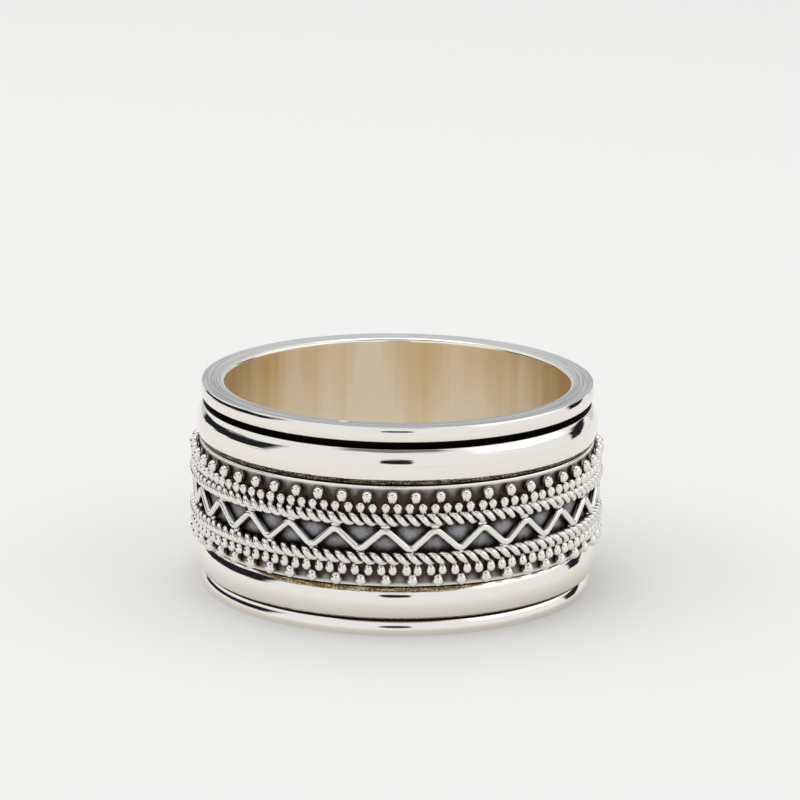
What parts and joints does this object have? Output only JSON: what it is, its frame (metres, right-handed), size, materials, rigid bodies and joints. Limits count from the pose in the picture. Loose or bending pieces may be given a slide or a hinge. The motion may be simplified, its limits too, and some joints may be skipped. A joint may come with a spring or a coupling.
{
  "type": "spinner ring",
  "caption": "Wide silver spinner ring: plain domed bands and a dark band with ropes, grains and a zigzag wire spin freely around a flanged inner band.",
  "frame": {"origin": "centre of the lower face, on the finger axis, where the ring rests on its side", "axes": "+Z along the finger axis, up; -Y towards the front of the pictured view, +X to its right"},
  "size_m": [0.0218, 0.0218, 0.0109],
  "materials": {
    "satin_silver": "satin sterling silver, warm inside",
    "polished_silver": "polished sterling silver",
    "oxidised_silver": "oxidised sterling silver, polished on its raised wires and grains"
  },
  "bodies": {
    "inner_band": {"inner_band": "satin_silver"},
    "lower_spinner": {"lower_spinner": "polished_silver"},
    "patterned_spinner": {"patterned_spinner": "oxidised_silver"},
    "upper_spinner": {"upper_spinner": "polished_silver"}
  },
  "joints": [
    {"name": "lower_spin", "type": "hinge", "parent": "inner_band", "child": "lower_spinner", "pos_m": [0, 0, 0.00171], "axis": [0, 0, 1], "continuous": true},
    {"name": "patterned_spin", "type": "hinge", "parent": "inner_band", "child": "patterned_spinner", "pos_m": [0, 0, 0.00526], "axis": [0, 0, 1], "continuous": true},
    {"name": "upper_spin", "type": "hinge", "parent": "inner_band", "child": "upper_spinner", "pos_m": [0, 0, 0.00885], "axis": [0, 0, 1], "continuous": true}
  ]
}
